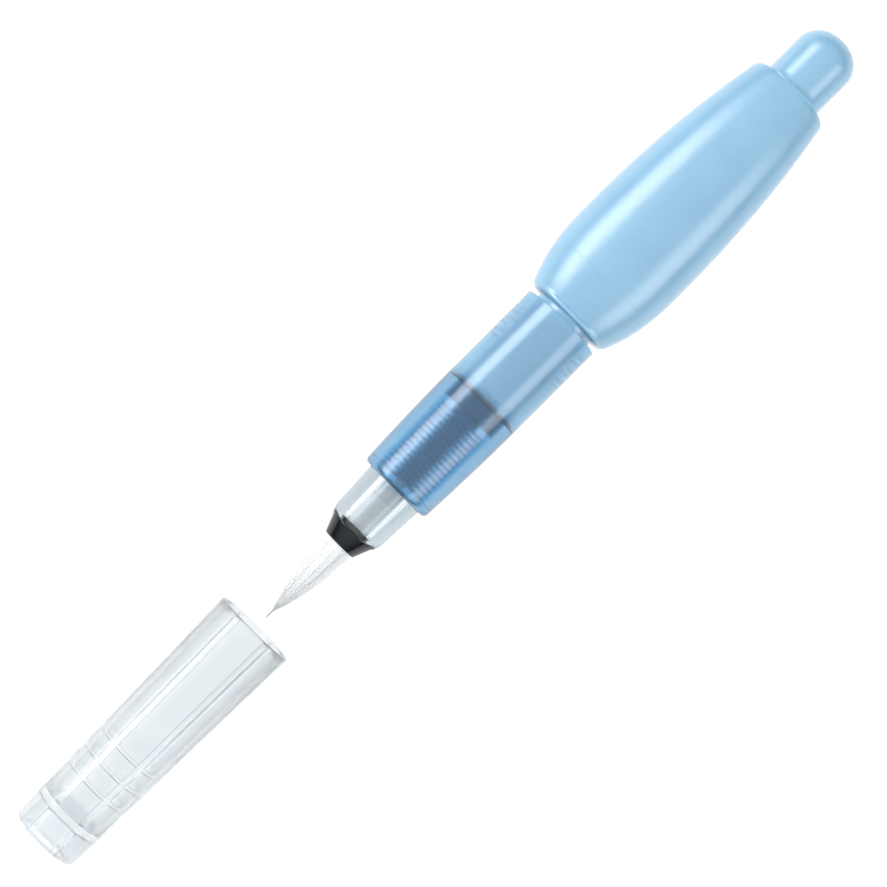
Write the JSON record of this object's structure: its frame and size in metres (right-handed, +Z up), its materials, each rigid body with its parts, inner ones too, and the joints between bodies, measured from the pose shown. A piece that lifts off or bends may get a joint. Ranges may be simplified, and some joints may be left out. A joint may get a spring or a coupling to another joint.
{
  "type": "brush pen",
  "caption": "Refillable brush pen with a soft squeeze reservoir, screw-on clear grip, nylon bristle tip and a clear pull-off cap.",
  "frame": {"origin": "on the surface that the pen lies on, under the middle of the box round the pen and its cap", "axes": "+X along the pen from the cap towards the tail, +Y across it, +Z up; the pen's own axis is 8 mm above the surface"},
  "size_m": [0.179, 0.0206, 0.016],
  "materials": {
    "bristle_nylon": "satin",
    "black_collar_plastic": "gloss",
    "clear_nose_plastic": "gloss",
    "smoky_grip_plastic": "gloss",
    "wick_fibre": "matt",
    "collector_plastic": "satin",
    "dark_plug_plastic": "satin",
    "seal_rubber": "matt",
    "soft_blue_plastic": "satin",
    "clear_cap_plastic": "gloss"
  },
  "bodies": {
    "reservoir_body": {"reservoir": "soft_blue_plastic"},
    "seal_body": {"mouth_seal_ring": "seal_rubber"},
    "front_body": {"grip_section": "smoky_grip_plastic", "brush_nose": "clear_nose_plastic", "tuft_collar": "black_collar_plastic", "bristle_tuft": "bristle_nylon", "feed_wick": "wick_fibre", "finned_collector": "collector_plastic", "valve_plug": "dark_plug_plastic"},
    "cap_body": {"cap": "clear_cap_plastic"}
  },
  "joints": [
    {"name": "front_travel", "type": "slide", "parent": "reservoir_body", "child": "seal_body", "axis": [-1, 0, 0], "range_m": [0, 0.00962]},
    {"name": "front_unscrew", "type": "hinge", "parent": "seal_body", "child": "front_body", "pos_m": [0, 0, 0.008], "axis": [-1, 0, 0], "range_deg": [0, 1440]},
    {"name": "cap_push_on", "type": "slide", "parent": "front_body", "child": "cap_body", "axis": [1, 0, 0], "range_m": [0, 0.03105]}
  ],
  "couplings": [
    {"joint": "front_travel", "follows": "front_unscrew", "m_per_rad": 0.00038197}
  ]
}
